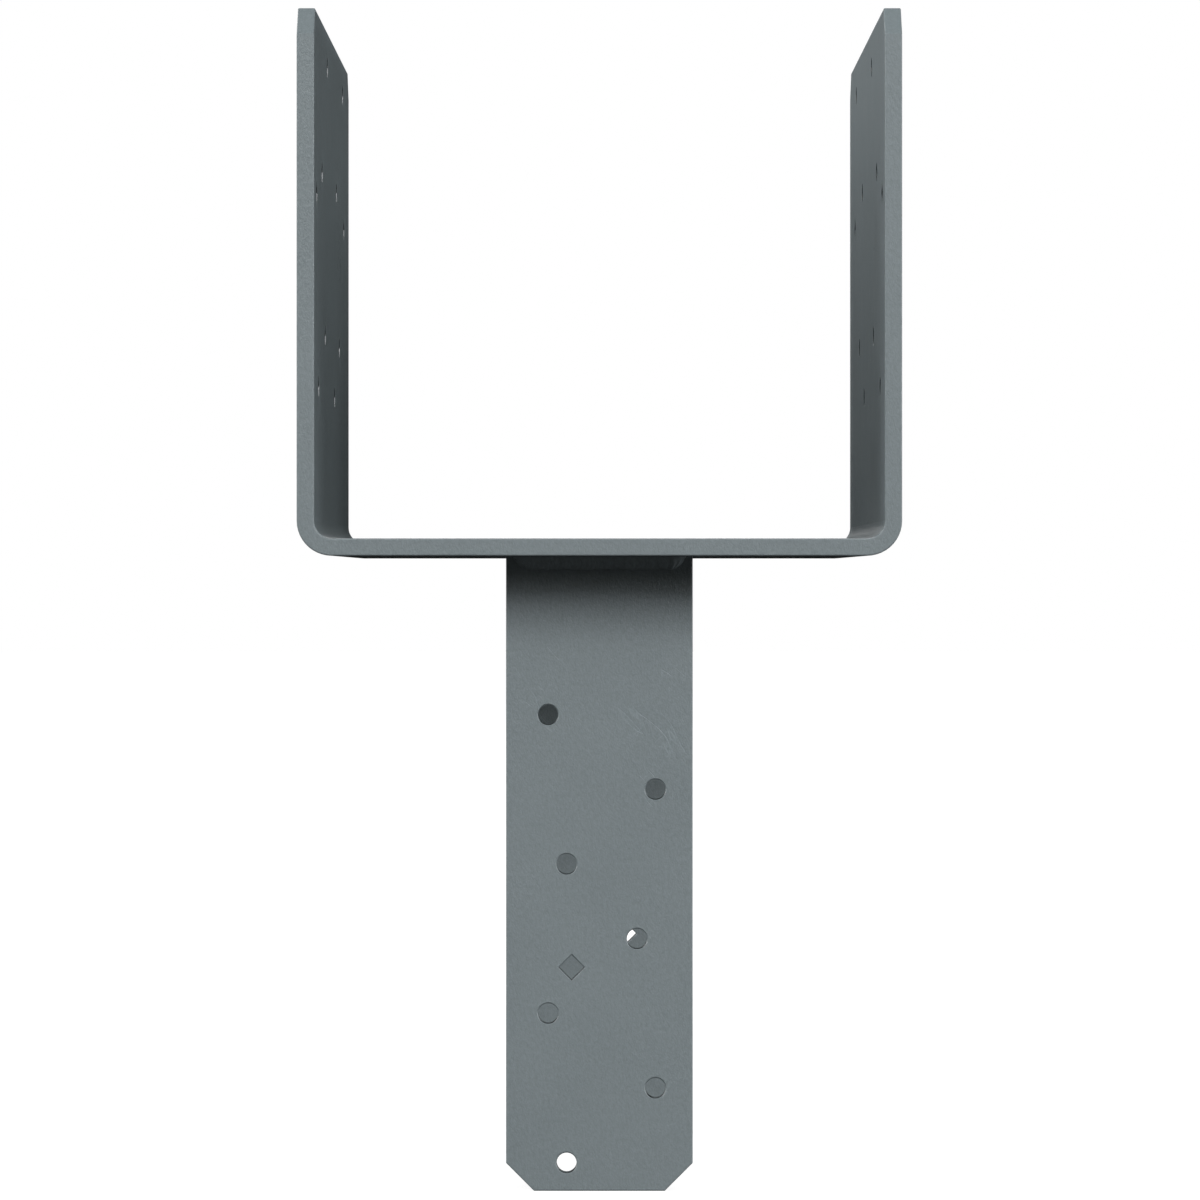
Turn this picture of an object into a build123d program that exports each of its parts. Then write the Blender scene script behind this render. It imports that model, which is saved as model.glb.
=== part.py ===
from build123d import *
from build123d.topology import SkipClean
import os

# Column cap. A saddle folded from one thick steel plate holds a timber beam, and two straps
# welded under its seat clasp the top of a timber post. Lengths are in millimetres.
# The origin is the centre of the seat's underside, where the top of the post bears.
# +X runs across the beam, +Y along the beam towards its rear, +Z up.

# Plate that the saddle and the straps are cut from
PLATE = 5.82
BEND_RADIUS = 5.9  # inside radius of the two folds
EDGE_ROUND = 0.5  # cut edges of the plates, dulled under the paint

# Saddle
BEAM_WIDTH = 190.5  # clear between the side plates
SADDLE_LENGTH = 279.4  # along the beam
SIDE_HEIGHT = 177.8  # side plates, above the top of the seat
SIDE_CLIP = 9.3  # clipped upper corners of the side plates

# Straps
POST_DEPTH = 190.5  # clear between the straps
STRAP_WIDTH = 63.5
STRAP_LENGTH = 215.9  # below the seat
STRAP_CLIP = 9.5  # clipped lower corners of the straps

# Weld between each strap's outer face and the seat
WELD_LEG = 4.8
WELD_CROWN = 0.4  # rise of the bead's middle past the flat between its toes, down and outwards
WELD_END_GAP = 2.0  # from each end of the bead to the strap's edge

# Holes
SCREW_HOLE = 6.8  # diameter of the round holes
SQUARE_HOLE = 6.0  # side of the square holes, which stand on one corner
RIM_BREAK = 0.4  # small bevel round both rims of the straps' holes
SIDE_RIM_BREAK = 0.1  # the same in the side plates, hardly more than a dulled edge

# Rows of round holes in the side plates, the same in both. In each row one hole is placed from
# the front edge and one from the rear edge. Low rows are placed from the seat, high rows from
# the top edge.
LOW_ROWS = (
    {"height": 51.8, "front": 34.3, "rear": 121.4},
    {"height": 71.0, "front": 84.1, "rear": 82.0},
)
HIGH_ROWS = (
    {"drop": 51.6, "front": 59.9, "rear": 106.7},
    {"drop": 12.2, "front": 99.8, "rear": 55.1},
)
SQUARE_ROW = {"drop": 61.2, "front": 19.8, "rear": 44.2}

# Staggered round holes in the straps, counted from the free end. The holes lie by turns near
# the left and the right edge of the front strap, at these distances from that edge.
STRAP_FIRST_HOLE = 9.6  # from the free end
STRAP_PITCH = 25.4
STRAP_EDGE_DISTANCES = (20.6, 12.7, 14.3, 19.0)
STRAP_PLAIN_TOP = 45.0  # no hole lies nearer to the seat than this
STRAP_SQUARE_HEIGHT = 76.0  # square hole, from the free end
STRAP_SQUARE_EDGE = 22.3  # square hole, from the left edge of the front strap

# Sizes that follow from the ones above
INNER_X = BEAM_WIDTH / 2
OUTER_X = INNER_X + PLATE
HALF_LENGTH = SADDLE_LENGTH / 2
TOP_Z = PLATE + SIDE_HEIGHT
POST_FACE_Y = POST_DEPTH / 2
STRAP_FACE_Y = POST_FACE_Y + PLATE
HALF_STRAP = STRAP_WIDTH / 2


def folded_plate():
    """Plate bent into a U, open at the top, with its four upper corners clipped."""
    outside = FilletPolyline(
        (-OUTER_X, TOP_Z), (-OUTER_X, 0), (OUTER_X, 0), (OUTER_X, TOP_Z), radius=BEND_RADIUS + PLATE
    )
    inside = FilletPolyline(
        (INNER_X, TOP_Z), (INNER_X, PLATE), (-INNER_X, PLATE), (-INNER_X, TOP_Z), radius=BEND_RADIUS
    )
    section = make_face(
        [outside, Line(outside @ 1, inside @ 0), inside, Line(inside @ 1, outside @ 0)]
    )
    plate = extrude(Plane.XZ * section, amount=HALF_LENGTH, both=True)
    upper_corners = plate.edges().filter_by(Axis.X).group_by(Axis.Z)[-1]
    return chamfer(upper_corners, SIDE_CLIP)


def row_places(row):
    """The two hole centres of one row as (y, z), in both side plates."""
    height = PLATE + row["height"] if "height" in row else TOP_Z - row["drop"]
    return [(row["front"] - HALF_LENGTH, height), (HALF_LENGTH - row["rear"], height)]


def cross_drill(y, z):
    """Tool that pierces both side plates with a round hole."""
    return Pos(0, y, z) * Rot(0, 90, 0) * Cylinder(SCREW_HOLE / 2, 2 * OUTER_X)


def cross_punch(y, z):
    """Tool that pierces both side plates with a square hole standing on one corner."""
    return Pos(0, y, z) * Rot(45, 0, 0) * Box(2 * OUTER_X, SQUARE_HOLE, SQUARE_HOLE)


def cut_edges(plate):
    """Edges along which the folded plate's broad faces meet its cut rim."""
    ends = plate.faces().filter_by(lambda face: abs(face.normal_at().Y) > 0.1)
    tops = plate.faces().group_by(Axis.Z)[-1]
    rim = (ends + tops).edges()
    corners = rim.filter_by(Axis.X).filter_by(lambda edge: edge.center().Z > PLATE + BEND_RADIUS)
    return rim - corners


def hole_rims(faces):
    """Edges of all the holes in these faces."""
    wires = [wire for face in faces for wire in face.inner_wires()]
    return ShapeList(edge for wire in wires for edge in wire.edges())


def make_saddle():
    """Folded plate with dulled edges and the holes of both side plates."""
    saddle = folded_plate()
    saddle = fillet(cut_edges(saddle), EDGE_ROUND)
    for row in LOW_ROWS + HIGH_ROWS:
        for y, z in row_places(row):
            saddle -= cross_drill(y, z)
    for y, z in row_places(SQUARE_ROW):
        saddle -= cross_punch(y, z)
    return chamfer(hole_rims(saddle.faces().filter_by(Axis.X)), SIDE_RIM_BREAK)


def strap_hole_places():
    """Round hole centres of the front strap as (x, z)."""
    top_hole = STRAP_LENGTH - STRAP_PLAIN_TOP
    count = 1 + int((top_hole - STRAP_FIRST_HOLE) // STRAP_PITCH)
    places = []
    for index in range(count):
        side = 1 if index % 2 else -1
        edge_distance = STRAP_EDGE_DISTANCES[index % len(STRAP_EDGE_DISTANCES)]
        z = STRAP_FIRST_HOLE + index * STRAP_PITCH - STRAP_LENGTH
        places.append((side * (HALF_STRAP - edge_distance), z))
    return places


def make_front_strap():
    """Flat strap in front of the post, clipped at its free end and pierced with its holes."""
    middle_y = -(POST_FACE_Y + STRAP_FACE_Y) / 2
    strap = Pos(0, middle_y, -STRAP_LENGTH / 2) * Box(STRAP_WIDTH, PLATE, STRAP_LENGTH)
    free_corners = strap.edges().filter_by(Axis.Y).group_by(Axis.Z)[0]
    strap = chamfer(free_corners, STRAP_CLIP)
    outlines = strap.faces().filter_by(Axis.Y).edges()
    strap = fillet(outlines - outlines.group_by(Axis.Z)[-1], EDGE_ROUND)
    for x, z in strap_hole_places():
        strap -= Pos(x, middle_y, z) * Rot(90, 0, 0) * Cylinder(SCREW_HOLE / 2, 2 * PLATE)
    square_x = STRAP_SQUARE_EDGE - HALF_STRAP
    square_z = STRAP_SQUARE_HEIGHT - STRAP_LENGTH
    punch = Rot(0, 45, 0) * Box(SQUARE_HOLE, 2 * PLATE, SQUARE_HOLE)
    strap -= Pos(square_x, middle_y, square_z) * punch
    return chamfer(hole_rims(strap.faces().filter_by(Axis.Y)), RIM_BREAK)


def make_front_weld():
    """Fillet bead in the corner between the front strap's outer face and the seat.

    A straight run of one section, with a quarter turn of the same section at each end, so that
    the bead dies out against the strap before it reaches the strap's edges.
    """
    middle_leg = WELD_LEG / 2 + WELD_CROWN
    root = (-STRAP_FACE_Y, 0)
    seat_toe = (-STRAP_FACE_Y - WELD_LEG, 0)
    crown = (-STRAP_FACE_Y - middle_leg, -middle_leg)
    strap_toe = (-STRAP_FACE_Y, -WELD_LEG)
    section = Plane.YZ * make_face(Polyline(root, seat_toe, crown, strap_toe, close=True))
    half_run = HALF_STRAP - WELD_END_GAP - WELD_LEG
    bead = extrude(section, amount=half_run, both=True)
    end_axis = Axis((half_run, -STRAP_FACE_Y, 0), (0, 0, 1))
    right_end = revolve(Pos(half_run, 0, 0) * section, axis=end_axis, revolution_arc=90)
    return bead + right_end + mirror(right_end, about=Plane.YZ)


def turned_half_round(solid):
    """The same piece at the rear: half a turn about the cap's upright axis."""
    return Rot(0, 0, 180) * solid


def main():
    front_strap = make_front_strap()
    front_weld = make_front_weld()
    rear_strap = turned_half_round(front_strap)
    rear_weld = turned_half_round(front_weld)
    saddle = make_saddle()
    # The ends of the straps and the roots of the beads are outlined on the seat's underside.
    with SkipClean():
        for joined in (front_strap, rear_strap, front_weld, rear_weld):
            saddle -= joined
    nodes = {
        "saddle": saddle,
        "front_strap": front_strap,
        "rear_strap": rear_strap,
        "front_weld": front_weld,
        "rear_weld": rear_weld,
    }
    os.makedirs("parts", exist_ok=True)
    for name, solid in nodes.items():
        export_step(solid, f"parts/{name}.step")


main()
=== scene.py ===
import math

import bpy
import numpy as np
from bpy.props import FloatProperty, FloatVectorProperty, IntProperty, PointerProperty
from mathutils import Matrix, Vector


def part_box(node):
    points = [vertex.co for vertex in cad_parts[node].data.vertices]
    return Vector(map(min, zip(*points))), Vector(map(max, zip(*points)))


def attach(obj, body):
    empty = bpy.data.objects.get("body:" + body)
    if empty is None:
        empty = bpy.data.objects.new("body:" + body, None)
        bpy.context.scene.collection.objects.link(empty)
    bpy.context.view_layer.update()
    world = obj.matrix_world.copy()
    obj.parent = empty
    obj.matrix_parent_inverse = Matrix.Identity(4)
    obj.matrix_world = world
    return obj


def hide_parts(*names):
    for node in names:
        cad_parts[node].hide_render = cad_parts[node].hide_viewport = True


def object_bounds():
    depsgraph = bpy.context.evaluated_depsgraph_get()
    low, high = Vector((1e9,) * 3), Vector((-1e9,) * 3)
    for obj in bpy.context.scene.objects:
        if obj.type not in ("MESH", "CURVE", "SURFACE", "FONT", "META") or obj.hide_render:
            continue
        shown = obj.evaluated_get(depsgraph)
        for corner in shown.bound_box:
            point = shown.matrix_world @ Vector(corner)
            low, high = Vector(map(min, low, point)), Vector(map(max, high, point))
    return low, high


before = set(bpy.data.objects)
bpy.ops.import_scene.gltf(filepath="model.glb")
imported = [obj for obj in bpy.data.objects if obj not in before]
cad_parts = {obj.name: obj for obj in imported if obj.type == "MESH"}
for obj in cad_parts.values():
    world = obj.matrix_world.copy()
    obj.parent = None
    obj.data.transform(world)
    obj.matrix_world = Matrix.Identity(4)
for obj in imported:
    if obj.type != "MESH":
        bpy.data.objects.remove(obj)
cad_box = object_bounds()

bl_info = {
    "name": "Column Cap",
    "version": (1, 0, 0),
    "blender": (4, 5, 0),
    "location": "3D View > Sidebar > Column Cap",
    "description": "Paints a folded steel column cap, lays its weld beads and sets it on a pale floor",
    "category": "Object",
}

MM = 0.001
WHITE = (1.0, 1.0, 1.0, 1.0)
BODY = "root"

PLATE = 5.82 * MM  # thickness of the saddle and the straps
SIDE_CLIP = 9.3 * MM  # clipped upper corners of the side plates
STRAP_CLIP = 9.5 * MM  # clipped lower corners of the straps
RIM_BREAK = 0.4 * MM  # bevel round the rims of the straps' holes

# Turns of the X axis upright, and to the two directions of the scratches down the faces
UPRIGHT = (0.0, math.radians(90), 0.0)
STRAP_SCRATCHES = ((0.0, math.radians(47), 0.0), (0.0, math.radians(128), 0.0))
SADDLE_SCRATCHES = (
    (0.0, math.radians(-40), math.radians(90)),
    (0.0, math.radians(25), math.radians(90)),
)

# The two runs of scratches: distance between them, width as a share of the noise's range, how
# far they are drawn out, and strength
SCRATCH_RUNS = (
    (4.5 * MM, 0.025, 14.0, 1.0),
    (5.5 * MM, 0.02, 12.0, 0.6),
)

# Places where the scratches gather: a point on the piece and how far from it they reach
STRAP_WEAR = (
    ((22 * MM, -101 * MM, -60 * MM), 38 * MM),
    ((-22 * MM, -101 * MM, -42 * MM), 26 * MM),
    ((-14 * MM, 101 * MM, -66 * MM), 40 * MM),
)
SADDLE_WEAR = (
    ((-101 * MM, 60 * MM, 110 * MM), 60 * MM),
    ((101 * MM, -50 * MM, 80 * MM), 60 * MM),
)


# Shader expressions


class Signal:
    """An output socket of a material, for use in Python expressions.

    Arithmetic on signals and numbers adds Math nodes, and node() adds any other node.
    """

    def __init__(self, tree, socket=None):
        self.tree = tree
        self.socket = socket

    def node(self, kind, settings=None, inputs=None, output=0):
        """Adds a node of this kind: settings first, then values or links of its input sockets."""
        made = self.tree.nodes.new(kind)
        for name, value in (settings or {}).items():
            setattr(made, name, value)
        for name, value in (inputs or {}).items():
            if isinstance(value, Signal):
                self.tree.links.new(value.socket, made.inputs[name])
            else:
                made.inputs[name].default_value = value
        return Signal(self.tree, made.outputs[output] if made.outputs else None)

    def math(self, operation, first, second=0.0):
        return self.node("ShaderNodeMath", {"operation": operation}, {0: first, 1: second})

    def __add__(self, other):
        return self.math("ADD", self, other)

    __radd__ = __add__

    def __sub__(self, other):
        return self.math("SUBTRACT", self, other)

    def __rsub__(self, other):
        return self.math("SUBTRACT", other, self)

    def __mul__(self, other):
        return self.math("MULTIPLY", self, other)

    __rmul__ = __mul__

    def __neg__(self):
        return 0 - self

    def __abs__(self):
        return self.math("ABSOLUTE", self)

    def above(self, low, high):
        """0 below low, 1 above high, with a smooth rise between."""
        limits = {"Value": self, "From Min": low, "From Max": high}
        return self.node("ShaderNodeMapRange", {"interpolation_type": "SMOOTHSTEP"}, limits)

    def below(self, high, low):
        """1 below low, 0 above high, with a smooth fall between."""
        return 1 - self.above(low, high)

    def part(self, axis):
        """The X, Y or Z part of this vector."""
        return self.node("ShaderNodeSeparateXYZ", {}, {0: self}, output=axis)

    def mixed(self, share, first, second):
        """The first colour where the share is 0, the second where it is 1."""
        colours = {0: share, 6: first, 7: second}
        return self.node("ShaderNodeMix", {"data_type": "RGBA"}, colours, output=2)


def opaque(colour):
    """The colour as a socket's value, with its fourth part at 1."""
    return (*colour, 1.0)


def noise(place, size, detail=2.0, roughness=0.5, output=0):
    """Cloudy noise whose lumps are about this size, in metres."""
    inputs = {"Vector": place, "Scale": 1 / size, "Detail": detail, "Roughness": roughness}
    return place.node("ShaderNodeTexNoise", {}, inputs, output=output)


def stretched(place, turn, stretch):
    """The place turned and then shrunk along its own X, so that a noise on it becomes streaks."""
    return place.node("ShaderNodeMapping", {"vector_type": "TEXTURE"}, {
        "Vector": place,
        "Rotation": turn,
        "Scale": (stretch, 1.0, 1.0),
    })


def scratches(place, turn, spacing, width, stretch, where):
    """Fine bowed scratches, from 0 to 1.

    They are the contour lines of a noise that is drawn out along one direction, bowed by a
    slow drift of the place, and kept only in patches: where a second, broad noise is high,
    which it is more often where the signal given as where is high.
    """
    drift_size, drift_reach = 24 * MM, 9 * MM
    drift = noise(place, drift_size, detail=1.0, output="Color")
    drift = place.node("ShaderNodeVectorMath", {"operation": "SUBTRACT"}, {0: drift, 1: (0.5,) * 3})
    inputs = {0: drift, "Scale": drift_reach}
    drift = place.node("ShaderNodeVectorMath", {"operation": "SCALE"}, inputs)
    bowed = place.node("ShaderNodeVectorMath", {"operation": "ADD"}, {0: place, 1: drift})
    lines = noise(stretched(bowed, turn, stretch), spacing, detail=1.0)
    line = 1 - abs(lines - 0.5).above(0.0, width)
    patch_size, gathering = 11 * MM, 0.22
    patches = noise(place, patch_size, detail=2.0) + gathering * where
    return line * patches.above(0.66, 0.76)


def nearness(place, centre, reach):
    """1 at the centre, 0 from this far away on."""
    measure = {"operation": "DISTANCE"}
    away = place.node("ShaderNodeVectorMath", measure, {0: place, 1: centre}, output="Value")
    return away.below(reach, 0.0)


def upward(place):
    """How far the surface faces up: 1 on top, 0 on an upright face, -1 underneath."""
    return place.node("ShaderNodeNewGeometry", output="Normal").part("Z")


def hole_walls(place, through, along, half_width, tip, clip):
    """1 on the walls of the holes, 0 on the broad faces and on the plate's outer rim.

    Through is the axis across the plate and the two depths between which the walls lie, and
    along is the axis across the plate's outline. The walls lie inside an outline drawn in from
    the plate's rim: its half width, its tip, which is its far end upwards or downwards, and
    its clipped corners. They also lie well away from the seat, where no plate has a hole.
    """
    axis, low, high = through
    soft = 0.08 * MM
    margin = 1.2 * MM
    seat_end, holes_start = 16 * MM, 18 * MM
    depth, side = abs(place.part(axis)), abs(place.part(along))
    height = place.part("Z")
    reach = height if tip > 0 else -height
    far = abs(tip)
    wall = depth.above(low, low + soft) * depth.below(high, high - soft)
    wall = wall * side.below(half_width - 0.5 * margin, half_width - margin)
    wall = wall * reach.below(far - 0.5 * margin, far - margin)
    corner = half_width + far - clip - margin
    wall = wall * (side + reach).below(corner, corner - 0.5 * margin)
    return wall * reach.above(seat_end, holes_start)


# Paint


def make_paint(name, paint, scratch_turns, worn_places, find_walls=None):
    """Satin grey paint on steel plate: fine grain, soft clouds of shade and faint scratches.

    The scratches gather round the worn places and are a little glossier than the paint. The
    walls of the punched holes get painted shade in place of paint, a dark colour: find_walls
    gives where they are, and where a painted highlight, a light and partly metallic colour, takes its
    place.
    """
    material = bpy.data.materials.new(name)
    material.use_nodes = True
    tree = material.node_tree
    tree.nodes.clear()
    place = Signal(tree).node("ShaderNodeTexCoord", output="Object")

    clouds = noise(place, paint.cloud_size, detail=3.0) - 0.5
    hanging = stretched(place, UPRIGHT, paint.grain_stretch)
    grain = noise(hanging, paint.grain_size, detail=2.0, roughness=0.65) - 0.5
    specks = noise(hanging, 0.4 * paint.grain_size, detail=1.0) - 0.5
    worn = sum(nearness(place, centre, reach) for centre, reach in worn_places)
    scratch = sum(
        strength * scratches(place, turn, spacing, width, stretch, worn)
        for turn, (spacing, width, stretch, strength) in zip(scratch_turns, SCRATCH_RUNS)
    )

    # A shade of 0.5 is the paint's own colour, 0 is half as light and 1 half as light again
    shade = 0.5 + paint.cloud_depth * clouds + paint.grain_depth * (grain + 0.7 * specks)
    shade = shade + paint.scratch_depth * scratch
    dark = opaque(0.5 * part for part in paint.colour)
    light = opaque(1.5 * part for part in paint.colour)
    colour = place.mixed(shade, dark, light)

    roughness = paint.roughness + 0.10 * clouds + 0.12 * grain - 0.10 * scratch
    height = grain + 0.5 * specks - 0.4 * scratch
    relief = place.node("ShaderNodeBump", {}, {
        "Strength": 1.0,
        "Distance": paint.grain_height,
        "Height": height,
    })
    metal = 0.0
    # Painted shade and painted highlight on the walls of the punched holes, in place of the paint
    if find_walls:
        wall, highlit = find_walls(place)
        hole_shading = place.mixed(highlit, opaque(paint.scale), opaque(paint.steel))
        colour = place.mixed(wall, colour, hole_shading)
        dullness = paint.hole_shade_roughness + highlit * (paint.hole_highlight_roughness - paint.hole_shade_roughness)
        roughness = roughness + wall * (dullness - roughness)
        metal = paint.hole_highlight_metal * wall * highlit
    surface = place.node("ShaderNodeBsdfPrincipled", {}, {
        "Base Color": colour,
        "Metallic": metal,
        "Roughness": roughness,
        "Specular IOR Level": paint.gloss,
        "Normal": relief,
    })
    place.node("ShaderNodeOutputMaterial", {}, {"Surface": surface})
    return material


class ColumnCapPaint(bpy.types.PropertyGroup):
    """Sizes and colours of the paint."""

    colour: FloatVectorProperty(
        name="Colour", description="Colour of the paint", subtype="COLOR",
        min=0.0, max=1.0, default=(0.1765, 0.2085, 0.2195),
    )
    roughness: FloatProperty(
        name="Roughness", description="How matt the paint is", subtype="FACTOR",
        min=0.0, max=1.0, default=0.38,
    )
    gloss: FloatProperty(
        name="Gloss", description="Strength of the paint's reflection", subtype="FACTOR",
        min=0.0, max=1.0, default=0.5,
    )
    grain_size: FloatProperty(
        name="Grain", description="Size of the paint's fine grain", unit="LENGTH",
        default=1.1 * MM,
    )
    grain_stretch: FloatProperty(
        name="Grain Stretch", description="How much taller than wide the grain is", default=1.5,
    )
    grain_height: FloatProperty(
        name="Grain Height", description="Depth of the grain's relief", unit="LENGTH",
        default=0.10 * MM,
    )
    grain_depth: FloatProperty(
        name="Grain Contrast", description="Change of shade in the grain", subtype="FACTOR",
        default=0.3,
    )
    cloud_size: FloatProperty(
        name="Clouds", description="Size of the soft clouds of shade", unit="LENGTH",
        default=28 * MM,
    )
    cloud_depth: FloatProperty(
        name="Cloud Contrast", description="Change of shade in the clouds", subtype="FACTOR",
        default=0.06,
    )
    scratch_depth: FloatProperty(
        name="Scratch Contrast", description="How much lighter the scratches are",
        subtype="FACTOR", default=0.12,
    )
    # Colours that stand for light and shade on the walls of the holes: a light one for a painted
    # highlight and a dark one for painted shade, with how metallic and how dull each is
    steel: FloatVectorProperty(
        name="Steel", description="Colour of bright steel in the holes", subtype="COLOR",
        min=0.0, max=1.0, default=(0.5, 0.51, 0.52),
    )
    scale: FloatVectorProperty(
        name="Scale", description="Colour of dark steel in the holes", subtype="COLOR",
        min=0.0, max=1.0, default=(0.02, 0.021, 0.022),
    )
    hole_highlight_metal: FloatProperty(
        name="Steel Metallic", description="How metallic the bright steel looks",
        subtype="FACTOR", min=0.0, max=1.0, default=0.3,
    )
    hole_highlight_roughness: FloatProperty(
        name="Steel Roughness", description="How dull the bright steel is", subtype="FACTOR",
        min=0.0, max=1.0, default=0.5,
    )
    hole_shade_roughness: FloatProperty(
        name="Scale Roughness", description="How dull the dark steel is", subtype="FACTOR",
        min=0.0, max=1.0, default=0.15,
    )


def assign(nodes, material):
    """Puts the material in the first slot of each of these nodes."""
    for name in nodes:
        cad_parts[name].material_slots[0].material = material


class COLUMNCAP_OT_paint_saddle(bpy.types.Operator):
    """Paint the folded saddle"""

    bl_idname = "column_cap.paint_saddle"
    bl_label = "Paint Saddle"

    def execute(self, context):
        paint = context.scene.column_cap_paint
        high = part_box("saddle")[1]
        through = ("X", high.x - PLATE, high.x)

        def find_walls(place):
            wall = hole_walls(place, through, "Y", high.y, high.z, SIDE_CLIP)
            # Painted highlight in the left plate, on the lower half of each hole's wall, which faces
            # up; the rest of the walls get painted shade
            left = place.part("X").below(0.0, -MM)
            return wall, left * upward(place).above(-0.1, 0.1)

        material = make_paint("saddle_paint", paint, SADDLE_SCRATCHES, SADDLE_WEAR, find_walls)
        assign(["saddle"], material)
        return {"FINISHED"}


class COLUMNCAP_OT_paint_straps(bpy.types.Operator):
    """Paint the two straps"""

    bl_idname = "column_cap.paint_straps"
    bl_label = "Paint Straps"

    def execute(self, context):
        paint = context.scene.column_cap_paint
        low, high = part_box("rear_strap")
        wider = ("Y", low.y + 0.5 * RIM_BREAK, high.y - 0.5 * RIM_BREAK)
        inside = ("Y", low.y + RIM_BREAK, high.y - RIM_BREAK)

        def find_walls(place):
            wall = hole_walls(place, inside, "X", high.x, low.z, STRAP_CLIP)
            # Painted shade also on the inner half of each rim's bevel, where it faces up, and no
            # painted highlight
            rim_shade = upward(place).above(0.2, 0.6)
            rim_shade = rim_shade * hole_walls(place, wider, "X", high.x, low.z, STRAP_CLIP)
            return wall + (1 - wall) * rim_shade, 0.0

        material = make_paint("strap_paint", paint, STRAP_SCRATCHES, STRAP_WEAR, find_walls)
        assign(["front_strap", "rear_strap"], material)
        return {"FINISHED"}


# Weld beads


class ColumnCapWeld(bpy.types.PropertyGroup):
    """Sizes of the weld beads."""

    crown: FloatProperty(
        name="Crown", description="Rise of the bead's middle", unit="LENGTH", default=0.45 * MM,
    )
    ripple_pitch: FloatProperty(
        name="Ripple Pitch", description="Distance between ripples", unit="LENGTH",
        default=1.7 * MM,
    )
    ripple_depth: FloatProperty(
        name="Ripple Depth", description="Depth of the ripples", unit="LENGTH",
        default=0.22 * MM,
    )
    ripple_bow: FloatProperty(
        name="Ripple Bow", description="How far each ripple bows along the bead, in ripples",
        default=0.75,
    )
    ripple_waver: FloatProperty(
        name="Ripple Waver", description="Unevenness of the ripples' spacing, in ripples",
        default=0.12,
    )
    leg_waver: FloatProperty(
        name="Leg Waver", description="Unevenness of the bead's legs, as a share of their length",
        subtype="FACTOR", default=0.02,
    )
    stations: IntProperty(
        name="Stations", description="Sections along each bead", min=40, default=360,
    )
    across: IntProperty(
        name="Points Across", description="Points across the bead's face", min=5, default=15,
    )


# Waves in the welder's hand along a bead: radians per metre, start and height
WAVER = (
    (410, 0.0, 1.0),
    (930, 1.3, 0.6),
    (1710, 4.1, 0.4),
)
WAVER_REACH = sum(height for pace, start, height in WAVER)


def bead_points(low, high, weld):
    """Grid of points of one bead at the front of the seat, sections by points round each.

    The root runs straight along X. Each section stands on the root: it starts at the seat toe,
    one leg out from the root, and runs over a crowned face to the strap toe, one leg down. At
    both ends the sections turn a quarter round the end of the root. Ripples are bowed waves
    along the bead, cut into the crowned face, and the legs waver a little.
    """
    leg = high.z - low.z
    run = high.x - low.x - 2 * leg
    turn_length = math.pi / 2 * leg / 2  # a quarter turn, along the middle of the leg
    s = np.linspace(-run / 2 - turn_length, run / 2 + turn_length, weld.stations)
    root_x = np.clip(s, -run / 2, run / 2)
    angle = (s - root_x) / turn_length * math.pi / 2
    waver = sum(height * np.sin(s * pace + start) for pace, start, height in WAVER)
    local_leg = leg * (1 - weld.leg_waver * (WAVER_REACH + waver))

    v = np.linspace(0, 1, weld.across)
    hump = 4 * v * (1 - v)
    phase = s / weld.ripple_pitch + weld.ripple_waver * waver
    wave = 0.5 - 0.5 * np.cos(2 * math.pi * (phase[:, None] - weld.ripple_bow * hump[None, :]))
    rise = (weld.crown - weld.ripple_depth * wave) * hump[None, :]
    out = local_leg[:, None] * (1 - v)[None, :] + rise
    down = local_leg[:, None] * v[None, :] + rise

    root = np.zeros((weld.stations, 1))
    out = np.concatenate([out, root], axis=1)
    down = np.concatenate([down, root], axis=1)
    x = root_x[:, None] + out * np.sin(angle)[:, None]
    y = high.y - out * np.cos(angle)[:, None]
    z = high.z - down
    return np.stack([x, y, z], axis=2)


def closed_tube(name, points):
    """Mesh piece from rings of points along a bead.

    Quads join each ring to the next, the last point of a ring is joined to its first, and one
    flat face closes each end ring. The crowned face is smooth. The last two strips, which lie
    on the strap and the seat, are flat.
    """
    rings, around = points.shape[:2]
    index = np.arange(rings * around).reshape(rings, around)
    after = np.roll(index, -1, axis=1)
    quads = np.stack([index[:-1], index[1:], after[1:], after[:-1]], axis=2).reshape(-1, 4)
    faces = quads.tolist() + [index[0].tolist(), index[-1, ::-1].tolist()]
    mesh = bpy.data.meshes.new(name)
    mesh.from_pydata(points.reshape(-1, 3).tolist(), [], faces)
    crowned = np.tile(np.arange(around) < around - 2, rings - 1)
    mesh.polygons.foreach_set("use_smooth", np.concatenate([crowned, [False, False]]))
    mesh.update()
    piece = bpy.data.objects.new(name, mesh)
    bpy.context.scene.collection.objects.link(piece)
    return piece


class COLUMNCAP_OT_lay_welds(bpy.types.Operator):
    """Lay the two rippled weld beads under the seat"""

    bl_idname = "column_cap.lay_welds"
    bl_label = "Lay Weld Beads"

    def execute(self, context):
        low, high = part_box("front_weld")
        points = bead_points(low, high, context.scene.column_cap_weld)
        paint = context.scene.column_cap_paint
        material = make_paint("weld_paint", paint, STRAP_SCRATCHES, STRAP_WEAR)
        half_turn = np.array([-1.0, -1.0, 1.0])
        for name, node, placed in (
            ("front_bead", "front_weld", points),
            ("rear_bead", "rear_weld", points * half_turn),
        ):
            bead = closed_tube(name, placed)
            bead.data.materials.append(material)
            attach(bead, BODY)
            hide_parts(node)
        return {"FINISHED"}


# Stage


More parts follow.
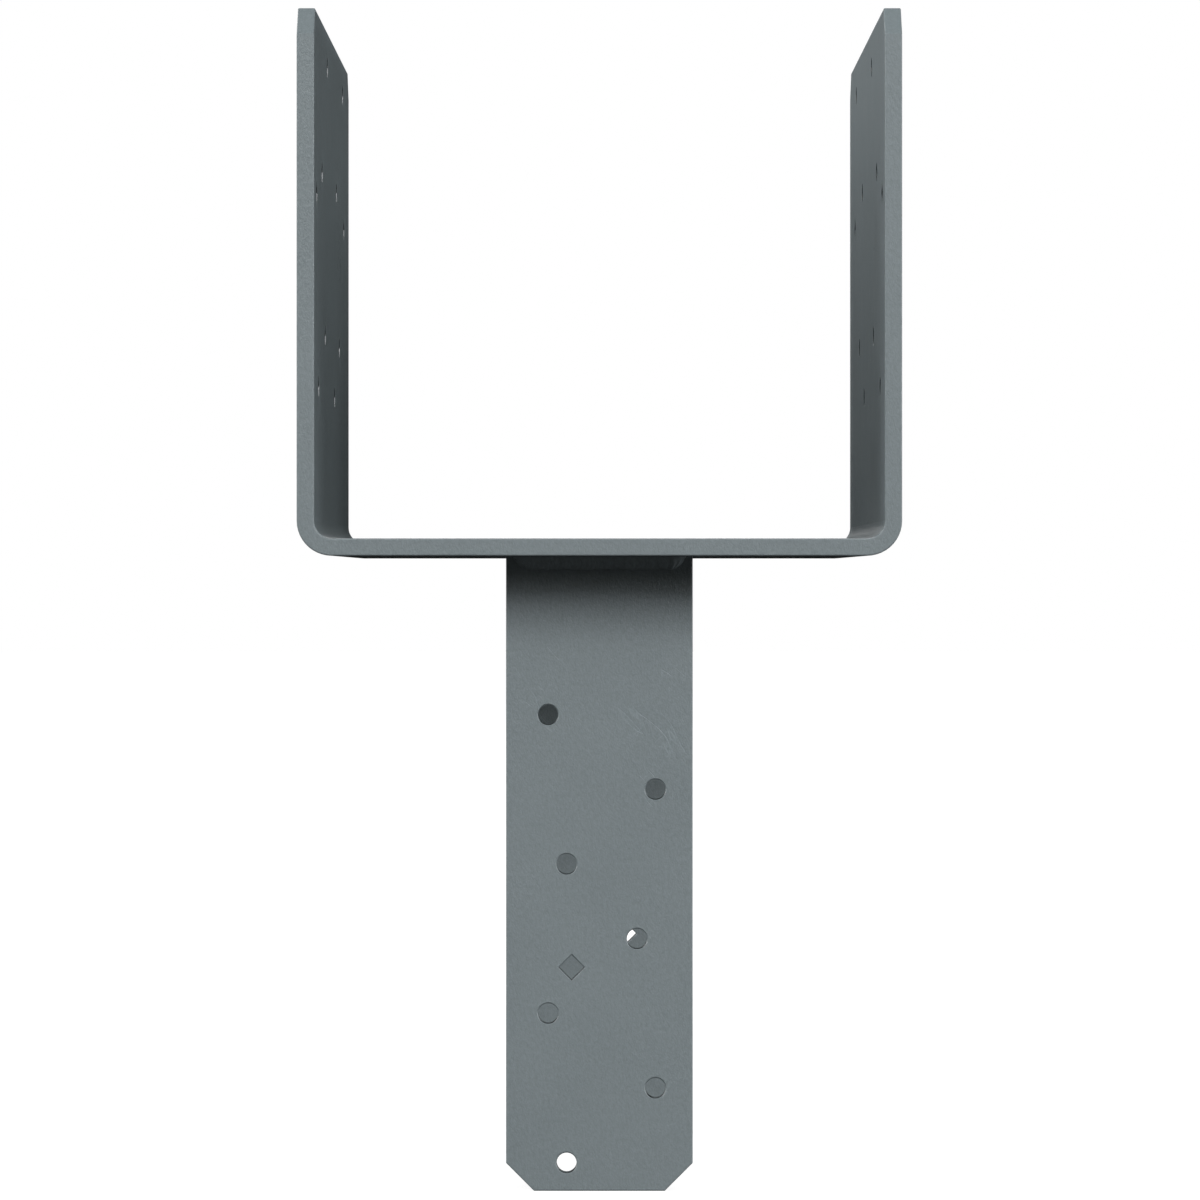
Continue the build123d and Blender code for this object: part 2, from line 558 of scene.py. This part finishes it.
class ColumnCapStage(bpy.types.PropertyGroup):
    """Sizes and strengths of the floor, the lights and the camera."""

    lens: FloatProperty(
        name="Lens", description="Focal length of the camera", unit="CAMERA", default=181.3,
    )
    camera_distance: FloatProperty(
        name="Camera Distance", description="From the camera to the cap's front edge",
        unit="LENGTH", default=2.0168,
    )
    camera_height: FloatProperty(
        name="Camera Height", description="Above the underside of the seat", unit="LENGTH",
        default=-7.6 * MM,
    )
    shift_x: FloatProperty(
        name="Shift X", description="Sideways shift of the picture, as a share of its width",
        default=0.0005,
    )
    shift_y: FloatProperty(
        name="Shift Y", description="Upward shift of the picture, as a share of its width",
        default=-0.0179,
    )
    floor_size: FloatProperty(
        name="Floor", description="Width of the floor", unit="LENGTH", default=30.0,
    )
    floor_grey: FloatProperty(
        name="Floor Grey", description="How much light the floor gives back to the eye",
        subtype="FACTOR", min=0.0, max=1.0, default=0.24,
    )
    glow: FloatProperty(
        name="Floor Glow", description="Part of the floor's white that casts no light",
        subtype="FACTOR", min=0.0, max=1.0, default=0.84,
    )
    bounce: FloatProperty(
        name="Floor Bounce", description="Part of the light that the floor gives back to the cap",
        subtype="FACTOR", min=0.0, max=1.0, default=0.09,
    )
    ambient: FloatProperty(
        name="Ambient", description="Strength of the even light from all round",
        min=0.0, default=0.012,
    )
    mirrored: FloatProperty(
        name="Mirrored White", description="Strength of the white surroundings in gloss",
        subtype="FACTOR", min=0.0, max=1.0, default=0.006,
    )
    light_distance: FloatProperty(
        name="Light Distance", description="From the lights to the middle of the cap",
        unit="LENGTH", default=6.0,
    )
    light_level: FloatProperty(
        name="Light Level", description="Multiplies the power of all lights", min=0.0, default=1.0,
    )


# Soft lights round the cap, all of them large but the edge light, which only lifts the rounded
# edges that face it. Azimuth 0 is the camera's side, 90 is the right.
SOFTBOXES = {
    # name: (azimuth, elevation, width, height, power)
    "key_light": (30, 25, 4.0, 2.8, 132.0),
    "wide_light": (22, 23, 6.2, 3.2, 94.0),
    "fill_light": (-20, 26, 2.0, 2.0, 145.0),
    "left_light": (-88, 27, 2.6, 4.6, 242.0),
    "low_left_light": (-82, 12, 2.4, 2.0, 49.0),
    "right_light": (77, 25, 2.0, 2.6, 84.0),
    "edge_light": (88, 1.5, 0.4, 0.5, 90.0),
    "back_left_light": (-150, 20, 2.0, 1.7, 33.0),
    "back_light": (180, 40, 2.5, 2.5, 125.0),
}


def softbox(name, azimuth, elevation, distance, width, height, power):
    """Area light of this size, aimed at the middle of the cap."""
    light = bpy.data.lights.new(name, "AREA")
    light.shape = "RECTANGLE"
    light.size = width
    light.size_y = height
    light.energy = power
    lamp = bpy.data.objects.new(name, light)
    lamp.visible_camera = False
    bpy.context.scene.collection.objects.link(lamp)
    low, high = cad_box
    centre = (low + high) / 2
    around, up = math.radians(azimuth), math.radians(elevation)
    direction = Vector((
        math.sin(around) * math.cos(up),
        -math.cos(around) * math.cos(up),
        math.sin(up),
    ))
    lamp.location = centre + distance * direction
    lamp.rotation_euler = (-direction).to_track_quat("-Z", "Y").to_euler()


def seen_by_eye(tree, mirrored):
    """1 for rays from the camera or through glass, less for rays off gloss, 0 for soft light."""
    start = Signal(tree)
    camera = start.node("ShaderNodeLightPath", output="Is Camera Ray")
    glossy = start.node("ShaderNodeLightPath", output="Is Glossy Ray")
    through = start.node("ShaderNodeLightPath", output="Is Transmission Ray")
    return camera + through + mirrored * glossy


SHADOW_FADES = (0.5, 1.2)  # metres from the middle of the cap, over which its shadow fades away


def make_floor(stage):
    """Pale floor that keeps the cap's shadow and is see-through from below.

    To the eye it is a grey that the lights whiten and a glow, which is full white far from the
    cap. To the cap it is a dim floor, which soft light comes off and gloss doesn't mirror.
    """
    material = bpy.data.materials.new("pale_floor")
    material.use_nodes = True
    tree = material.node_tree
    tree.nodes.clear()
    start = Signal(tree)
    seen = seen_by_eye(tree, stage.mirrored)
    grey = opaque([stage.floor_grey] * 3)
    pale = start.node("ShaderNodeBsdfDiffuse", {}, {"Color": grey})
    place = start.node("ShaderNodeTexCoord", output="Object")
    far = start.node("ShaderNodeVectorMath", {"operation": "LENGTH"}, {0: place}, output="Value")
    shine = stage.glow + (1 - stage.glow) * far.above(*SHADOW_FADES)
    glow = start.node("ShaderNodeEmission", {}, {"Color": shine})
    lit = start.node("ShaderNodeAddShader", {}, {0: pale, 1: glow})
    soft = 1 - start.node("ShaderNodeLightPath", output="Is Glossy Ray")
    dim = start.node("ShaderNodeBsdfDiffuse", {}, {"Color": stage.bounce * soft})
    top = start.node("ShaderNodeMixShader", {}, {0: seen, 1: dim, 2: lit})
    below = start.node("ShaderNodeNewGeometry", output="Backfacing")
    clear = start.node("ShaderNodeBsdfTransparent")
    surface = start.node("ShaderNodeMixShader", {}, {0: below, 1: top, 2: clear})
    start.node("ShaderNodeOutputMaterial", {}, {"Surface": surface})

    half = stage.floor_size / 2
    z = cad_box[0].z
    corners = [(-half, -half, z), (half, -half, z), (half, half, z), (-half, half, z)]
    mesh = bpy.data.meshes.new("floor")
    mesh.from_pydata(corners, [], [(0, 1, 2, 3)])
    mesh.materials.append(material)
    floor = bpy.data.objects.new("floor", mesh)
    bpy.context.scene.collection.objects.link(floor)


def make_world(stage):
    """White to the eye, and an even, weak light from all round."""
    world = bpy.data.worlds.new("studio")
    bpy.context.scene.world = world
    world.use_nodes = True
    tree = world.node_tree
    tree.nodes.clear()
    start = Signal(tree)
    seen = seen_by_eye(tree, stage.mirrored)
    strength = stage.ambient + (1 - stage.ambient) * seen
    white = start.node("ShaderNodeBackground", {}, {"Color": WHITE, "Strength": strength})
    start.node("ShaderNodeOutputWorld", {}, {"Surface": white})


def make_camera(stage):
    """Level camera that looks along the beam, in line with the middle of the cap."""
    data = bpy.data.cameras.new("camera")
    data.lens = stage.lens
    data.sensor_width = 36.0
    data.shift_x = stage.shift_x
    data.shift_y = stage.shift_y
    data.clip_end = 100.0
    camera = bpy.data.objects.new("camera", data)
    bpy.context.scene.collection.objects.link(camera)
    camera.location = (0.0, cad_box[0].y - stage.camera_distance, stage.camera_height)
    camera.rotation_euler = (math.pi / 2, 0.0, 0.0)
    bpy.context.scene.camera = camera


class COLUMNCAP_OT_set_stage(bpy.types.Operator):
    """Make the floor, the lights, the white surroundings and the camera"""

    bl_idname = "column_cap.set_stage"
    bl_label = "Set Stage"

    def execute(self, context):
        stage = context.scene.column_cap_stage
        make_floor(stage)
        make_world(stage)
        make_camera(stage)
        for name, (azimuth, elevation, width, height, power) in SOFTBOXES.items():
            power = power * stage.light_level
            softbox(name, azimuth, elevation, stage.light_distance, width, height, power)
        context.scene.view_settings.view_transform = "Standard"
        return {"FINISHED"}


# Panel and registration


class COLUMNCAP_PT_sidebar(bpy.types.Panel):
    """Lists the operators and sizes of the column cap."""

    bl_idname = "COLUMNCAP_PT_sidebar"
    bl_label = "Column Cap"
    bl_space_type = "VIEW_3D"
    bl_region_type = "UI"
    bl_category = "Column Cap"

    def draw(self, context):
        for title, group, operators in (
            ("Paint", context.scene.column_cap_paint, PAINT_OPERATORS),
            ("Weld Beads", context.scene.column_cap_weld, WELD_OPERATORS),
            ("Stage", context.scene.column_cap_stage, STAGE_OPERATORS),
        ):
            box = self.layout.box()
            box.label(text=title)
            for name in group.__annotations__:
                box.prop(group, name)
            for operator in operators:
                box.operator(operator.bl_idname)


PAINT_OPERATORS = (COLUMNCAP_OT_paint_saddle, COLUMNCAP_OT_paint_straps)
WELD_OPERATORS = (COLUMNCAP_OT_lay_welds,)
STAGE_OPERATORS = (COLUMNCAP_OT_set_stage,)
GROUPS = {
    "column_cap_paint": ColumnCapPaint,
    "column_cap_weld": ColumnCapWeld,
    "column_cap_stage": ColumnCapStage,
}
CLASSES = (
    *GROUPS.values(),
    *PAINT_OPERATORS,
    *WELD_OPERATORS,
    *STAGE_OPERATORS,
    COLUMNCAP_PT_sidebar,
)


def register():
    for cls in CLASSES:
        bpy.utils.register_class(cls)
    for name, group in GROUPS.items():
        setattr(bpy.types.Scene, name, PointerProperty(type=group))


def unregister():
    for name in GROUPS:
        delattr(bpy.types.Scene, name)
    for cls in reversed(CLASSES):
        bpy.utils.unregister_class(cls)


def main():
    """Runs every operator once."""
    register()
    bpy.ops.column_cap.paint_saddle()
    bpy.ops.column_cap.paint_straps()
    bpy.ops.column_cap.lay_welds()
    bpy.ops.column_cap.set_stage()


if __name__ == "__main__":
    main()
